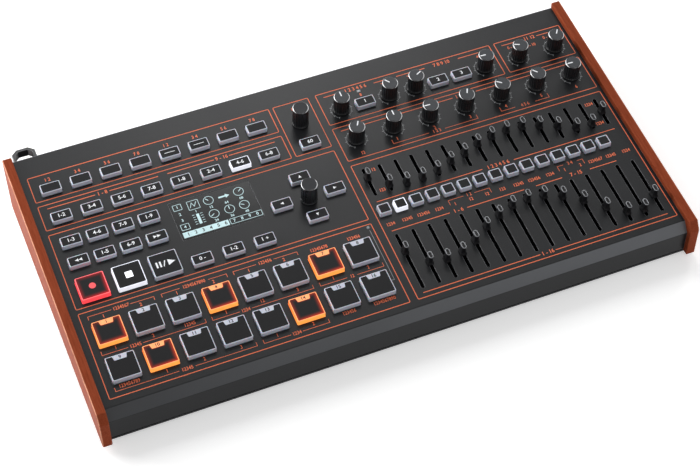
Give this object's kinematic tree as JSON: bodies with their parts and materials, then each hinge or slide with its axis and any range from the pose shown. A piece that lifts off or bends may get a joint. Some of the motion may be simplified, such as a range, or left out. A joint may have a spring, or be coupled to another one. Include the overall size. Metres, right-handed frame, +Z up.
{
  "type": "drum machine",
  "caption": "Desktop drum machine: a sloped metal panel of pads, keys, knobs and sliders between two wooden cheeks, with sockets at the rear and a cable hook.",
  "frame": {"origin": "on the surface it stands on, under the middle of its outline", "axes": "+X to the player's right, +Y to the rear, +Z up"},
  "size_m": [0.498, 0.2682, 0.0711],
  "materials": {
    "charcoal_metal": "satin powder coat",
    "stained_wood": "stained and oiled",
    "foot_rubber": "matt",
    "screw_steel": "plated",
    "board": "solder mask",
    "black_plastic": "moulded",
    "window": "polished",
    "key_milky": "translucent, soft sheen",
    "key_red": "translucent, lit red",
    "knob_plastic": "moulded, soft touch",
    "cap_plastic": "moulded",
    "hook_metal": "satin black"
  },
  "bodies": {
    "housing": {"top_panel": "charcoal_metal", "bottom_plate": "charcoal_metal", "cheek_left": "stained_wood", "cheek_right": "stained_wood", "rubber_feet": "foot_rubber", "fasteners": "screw_steel", "circuit_boards": "board", "display_module": "black_plastic", "display_window": "window", "slider_bodies": "screw_steel", "pot_bodies": "screw_steel", "jack_sockets": "black_plastic", "mini_sockets": "black_plastic", "data_sockets": "black_plastic", "cable_hook": "hook_metal"},
    "pads_rear_row": {"pads_rear_row": "key_milky"},
    "pads_front_row": {"pads_front_row": "key_milky"},
    "record_key": {"record_key": "key_red"},
    "stop_key": {"stop_key": "key_milky"},
    "play_key": {"play_key": "key_milky"},
    "upper_keys": {"upper_keys": "key_milky"},
    "lower_keys": {"lower_keys": "key_milky"},
    "cursor_keys": {"cursor_keys": "key_milky"},
    "function_keys": {"function_keys": "key_milky"},
    "voice_keys": {"voice_keys": "key_milky"},
    "tone_knob_1": {"tone_knob_1": "knob_plastic"},
    "tone_knob_2": {"tone_knob_2": "knob_plastic"},
    "tone_knob_3": {"tone_knob_3": "knob_plastic"},
    "tone_knob_4": {"tone_knob_4": "knob_plastic"},
    "tone_knob_5": {"tone_knob_5": "knob_plastic"},
    "tone_knob_6": {"tone_knob_6": "knob_plastic"},
    "tune_knob_1": {"tune_knob_1": "knob_plastic"},
    "tune_knob_2": {"tune_knob_2": "knob_plastic"},
    "tune_knob_3": {"tune_knob_3": "knob_plastic"},
    "tune_knob_4": {"tune_knob_4": "knob_plastic"},
    "tune_knob_5": {"tune_knob_5": "knob_plastic"},
    "tune_knob_6": {"tune_knob_6": "knob_plastic"},
    "tune_knob_7": {"tune_knob_7": "knob_plastic"},
    "tempo_knob": {"tempo_knob": "knob_plastic"},
    "data_knob": {"data_knob": "knob_plastic"},
    "mixer_cap_1": {"mixer_cap_1": "cap_plastic"},
    "mixer_cap_2": {"mixer_cap_2": "cap_plastic"},
    "mixer_cap_3": {"mixer_cap_3": "cap_plastic"},
    "mixer_cap_4": {"mixer_cap_4": "cap_plastic"},
    "mixer_cap_5": {"mixer_cap_5": "cap_plastic"},
    "mixer_cap_6": {"mixer_cap_6": "cap_plastic"},
    "mixer_cap_7": {"mixer_cap_7": "cap_plastic"},
    "mixer_cap_8": {"mixer_cap_8": "cap_plastic"},
    "mixer_cap_9": {"mixer_cap_9": "cap_plastic"},
    "mixer_cap_10": {"mixer_cap_10": "cap_plastic"},
    "mixer_cap_11": {"mixer_cap_11": "cap_plastic"},
    "mixer_cap_12": {"mixer_cap_12": "cap_plastic"},
    "mixer_cap_13": {"mixer_cap_13": "cap_plastic"},
    "mixer_cap_14": {"mixer_cap_14": "cap_plastic"},
    "mixer_cap_15": {"mixer_cap_15": "cap_plastic"},
    "mixer_cap_16": {"mixer_cap_16": "cap_plastic"},
    "pan_caps_rear": {"pan_caps_rear": "cap_plastic"},
    "pan_caps_middle": {"pan_caps_middle": "cap_plastic"},
    "pan_caps_front": {"pan_caps_front": "cap_plastic"},
    "power_rocker": {"power_rocker": "black_plastic"}
  },
  "joints": [
    {"name": "pads_rear_row_press", "type": "slide", "parent": "housing", "child": "pads_rear_row", "axis": [0, 0.0832, -0.9965], "range_m": [0, 0.001], "stiffness_N_per_m": 2400, "springref_m": -0.0006},
    {"name": "pads_front_row_press", "type": "slide", "parent": "housing", "child": "pads_front_row", "axis": [0, 0.0832, -0.9965], "range_m": [0, 0.001], "stiffness_N_per_m": 2400, "springref_m": -0.0006},
    {"name": "record_key_press", "type": "slide", "parent": "housing", "child": "record_key", "axis": [0, 0.0832, -0.9965], "range_m": [0, 0.001], "stiffness_N_per_m": 300, "springref_m": -0.0006},
    {"name": "stop_key_press", "type": "slide", "parent": "housing", "child": "stop_key", "axis": [0, 0.0832, -0.9965], "range_m": [0, 0.001], "stiffness_N_per_m": 300, "springref_m": -0.0006},
    {"name": "play_key_press", "type": "slide", "parent": "housing", "child": "play_key", "axis": [0, 0.0832, -0.9965], "range_m": [0, 0.001], "stiffness_N_per_m": 300, "springref_m": -0.0006},
    {"name": "upper_keys_press", "type": "slide", "parent": "housing", "child": "upper_keys", "axis": [0, 0.0832, -0.9965], "range_m": [0, 0.0007], "stiffness_N_per_m": 1600, "springref_m": -0.00042},
    {"name": "lower_keys_press", "type": "slide", "parent": "housing", "child": "lower_keys", "axis": [0, 0.0832, -0.9965], "range_m": [0, 0.0007], "stiffness_N_per_m": 800, "springref_m": -0.00042},
    {"name": "cursor_keys_press", "type": "slide", "parent": "housing", "child": "cursor_keys", "axis": [0, 0.0832, -0.9965], "range_m": [0, 0.0007], "stiffness_N_per_m": 700, "springref_m": -0.00042},
    {"name": "function_keys_press", "type": "slide", "parent": "housing", "child": "function_keys", "axis": [0, 0.0832, -0.9965], "range_m": [0, 0.0007], "stiffness_N_per_m": 400, "springref_m": -0.00042},
    {"name": "voice_keys_press", "type": "slide", "parent": "housing", "child": "voice_keys", "axis": [0, 0.0832, -0.9965], "range_m": [0, 0.0007], "stiffness_N_per_m": 1000, "springref_m": -0.00042},
    {"name": "tone_knob_1_turn", "type": "hinge", "parent": "housing", "child": "tone_knob_1", "pos_m": [0.0272, 0.07882, 0.05082], "axis": [0, 0.0832, -0.9965], "range_deg": [-151, 149]},
    {"name": "tone_knob_2_turn", "type": "hinge", "parent": "housing", "child": "tone_knob_2", "pos_m": [0.0704, 0.07882, 0.05082], "axis": [0, 0.0832, -0.9965], "range_deg": [-113, 187]},
    {"name": "tone_knob_3_turn", "type": "hinge", "parent": "housing", "child": "tone_knob_3", "pos_m": [0.094, 0.07882, 0.05082], "axis": [0, 0.0832, -0.9965], "range_deg": [-212, 88]},
    {"name": "tone_knob_4_turn", "type": "hinge", "parent": "housing", "child": "tone_knob_4", "pos_m": [0.1581, 0.07882, 0.05082], "axis": [0, 0.0832, -0.9965], "range_deg": [-63, 237]},
    {"name": "tone_knob_5_turn", "type": "hinge", "parent": "housing", "child": "tone_knob_5", "pos_m": [0.1899, 0.07882, 0.05082], "axis": [0, 0.0832, -0.9965], "range_deg": [-82, 218]},
    {"name": "tone_knob_6_turn", "type": "hinge", "parent": "housing", "child": "tone_knob_6", "pos_m": [0.2234, 0.07882, 0.05082], "axis": [0, 0.0832, -0.9965], "range_deg": [-184, 116]},
    {"name": "tune_knob_1_turn", "type": "hinge", "parent": "housing", "child": "tune_knob_1", "pos_m": [0.0273, 0.04564, 0.04805], "axis": [0, 0.0832, -0.9965], "range_deg": [-179, 121]},
    {"name": "tune_knob_2_turn", "type": "hinge", "parent": "housing", "child": "tune_knob_2", "pos_m": [0.05993, 0.04564, 0.04805], "axis": [0, 0.0832, -0.9965], "range_deg": [-151, 149]},
    {"name": "tune_knob_3_turn", "type": "hinge", "parent": "housing", "child": "tune_knob_3", "pos_m": [0.09256, 0.04564, 0.04805], "axis": [0, 0.0832, -0.9965], "range_deg": [-63, 237]},
    {"name": "tune_knob_4_turn", "type": "hinge", "parent": "housing", "child": "tune_knob_4", "pos_m": [0.12519, 0.04564, 0.04805], "axis": [0, 0.0832, -0.9965], "range_deg": [-176, 124]},
    {"name": "tune_knob_5_turn", "type": "hinge", "parent": "housing", "child": "tune_knob_5", "pos_m": [0.15782, 0.04564, 0.04805], "axis": [0, 0.0832, -0.9965], "range_deg": [-97, 203]},
    {"name": "tune_knob_6_turn", "type": "hinge", "parent": "housing", "child": "tune_knob_6", "pos_m": [0.19045, 0.04564, 0.04805], "axis": [0, 0.0832, -0.9965], "range_deg": [-110, 190]},
    {"name": "tune_knob_7_turn", "type": "hinge", "parent": "housing", "child": "tune_knob_7", "pos_m": [0.22308, 0.04564, 0.04805], "axis": [0, 0.0832, -0.9965], "range_deg": [-62, 238]},
    {"name": "tempo_knob_turn", "type": "hinge", "parent": "housing", "child": "tempo_knob", "pos_m": [-0.0096, 0.07753, 0.05071], "axis": [0, 0.0832, -0.9965], "continuous": true},
    {"name": "data_knob_turn", "type": "hinge", "parent": "housing", "child": "data_knob", "pos_m": [-0.0313, 0.00259, 0.04446], "axis": [0, 0.0832, -0.9965], "continuous": true},
    {"name": "mixer_cap_1_slide", "type": "slide", "parent": "housing", "child": "mixer_cap_1", "axis": [0, 0.9965, 0.0832], "range_m": [-0.03173, 0.01328]},
    {"name": "mixer_cap_2_slide", "type": "slide", "parent": "housing", "child": "mixer_cap_2", "axis": [0, 0.9965, 0.0832], "range_m": [-0.01575, 0.02925]},
    {"name": "mixer_cap_3_slide", "type": "slide", "parent": "housing", "child": "mixer_cap_3", "axis": [0, 0.9965, 0.0832], "range_m": [-0.0135, 0.0315]},
    {"name": "mixer_cap_4_slide", "type": "slide", "parent": "housing", "child": "mixer_cap_4", "axis": [0, 0.9965, 0.0832], "range_m": [-0.01507, 0.02993]},
    {"name": "mixer_cap_5_slide", "type": "slide", "parent": "housing", "child": "mixer_cap_5", "axis": [0, 0.9965, 0.0832], "range_m": [-0.0216, 0.0234]},
    {"name": "mixer_cap_6_slide", "type": "slide", "parent": "housing", "child": "mixer_cap_6", "axis": [0, 0.9965, 0.0832], "range_m": [-0.0306, 0.0144]},
    {"name": "mixer_cap_7_slide", "type": "slide", "parent": "housing", "child": "mixer_cap_7", "axis": [0, 0.9965, 0.0832], "range_m": [-0.03735, 0.00765]},
    {"name": "mixer_cap_8_slide", "type": "slide", "parent": "housing", "child": "mixer_cap_8", "axis": [0, 0.9965, 0.0832], "range_m": [-0.0423, 0.0027]},
    {"name": "mixer_cap_9_slide", "type": "slide", "parent": "housing", "child": "mixer_cap_9", "axis": [0, 0.9965, 0.0832], "range_m": [-0.04365, 0.00135]},
    {"name": "mixer_cap_10_slide", "type": "slide", "parent": "housing", "child": "mixer_cap_10", "axis": [0, 0.9965, 0.0832], "range_m": [-0.0423, 0.0027]},
    {"name": "mixer_cap_11_slide", "type": "slide", "parent": "housing", "child": "mixer_cap_11", "axis": [0, 0.9965, 0.0832], "range_m": [-0.03645, 0.00855]},
    {"name": "mixer_cap_12_slide", "type": "slide", "parent": "housing", "child": "mixer_cap_12", "axis": [0, 0.9965, 0.0832], "range_m": [-0.02655, 0.01845]},
    {"name": "mixer_cap_13_slide", "type": "slide", "parent": "housing", "child": "mixer_cap_13", "axis": [0, 0.9965, 0.0832], "range_m": [-0.01395, 0.03105]},
    {"name": "mixer_cap_14_slide", "type": "slide", "parent": "housing", "child": "mixer_cap_14", "axis": [0, 0.9965, 0.0832], "range_m": [-0.00405, 0.04095]},
    {"name": "mixer_cap_15_slide", "type": "slide", "parent": "housing", "child": "mixer_cap_15", "axis": [0, 0.9965, 0.0832], "range_m": [-0.0018, 0.0432]},
    {"name": "mixer_cap_16_slide", "type": "slide", "parent": "housing", "child": "mixer_cap_16", "axis": [0, 0.9965, 0.0832], "range_m": [-0.0117, 0.0333]},
    {"name": "pan_caps_rear_slide", "type": "slide", "parent": "housing", "child": "pan_caps_rear", "axis": [0, 0.9965, 0.0832], "range_m": [-0.01474, 0.00198]},
    {"name": "pan_caps_middle_slide", "type": "slide", "parent": "housing", "child": "pan_caps_middle", "axis": [0, 0.9965, 0.0832], "range_m": [-0.00682, 0.01133]},
    {"name": "pan_caps_front_slide", "type": "slide", "parent": "housing", "child": "pan_caps_front", "axis": [0, 0.9965, 0.0832], "range_m": [0, 0.01903]},
    {"name": "power_rocker_rock", "type": "hinge", "parent": "housing", "child": "power_rocker", "pos_m": [-0.187, 0.12077, 0.027], "axis": [0, 0, 1], "range_deg": [0, 18]}
  ]
}
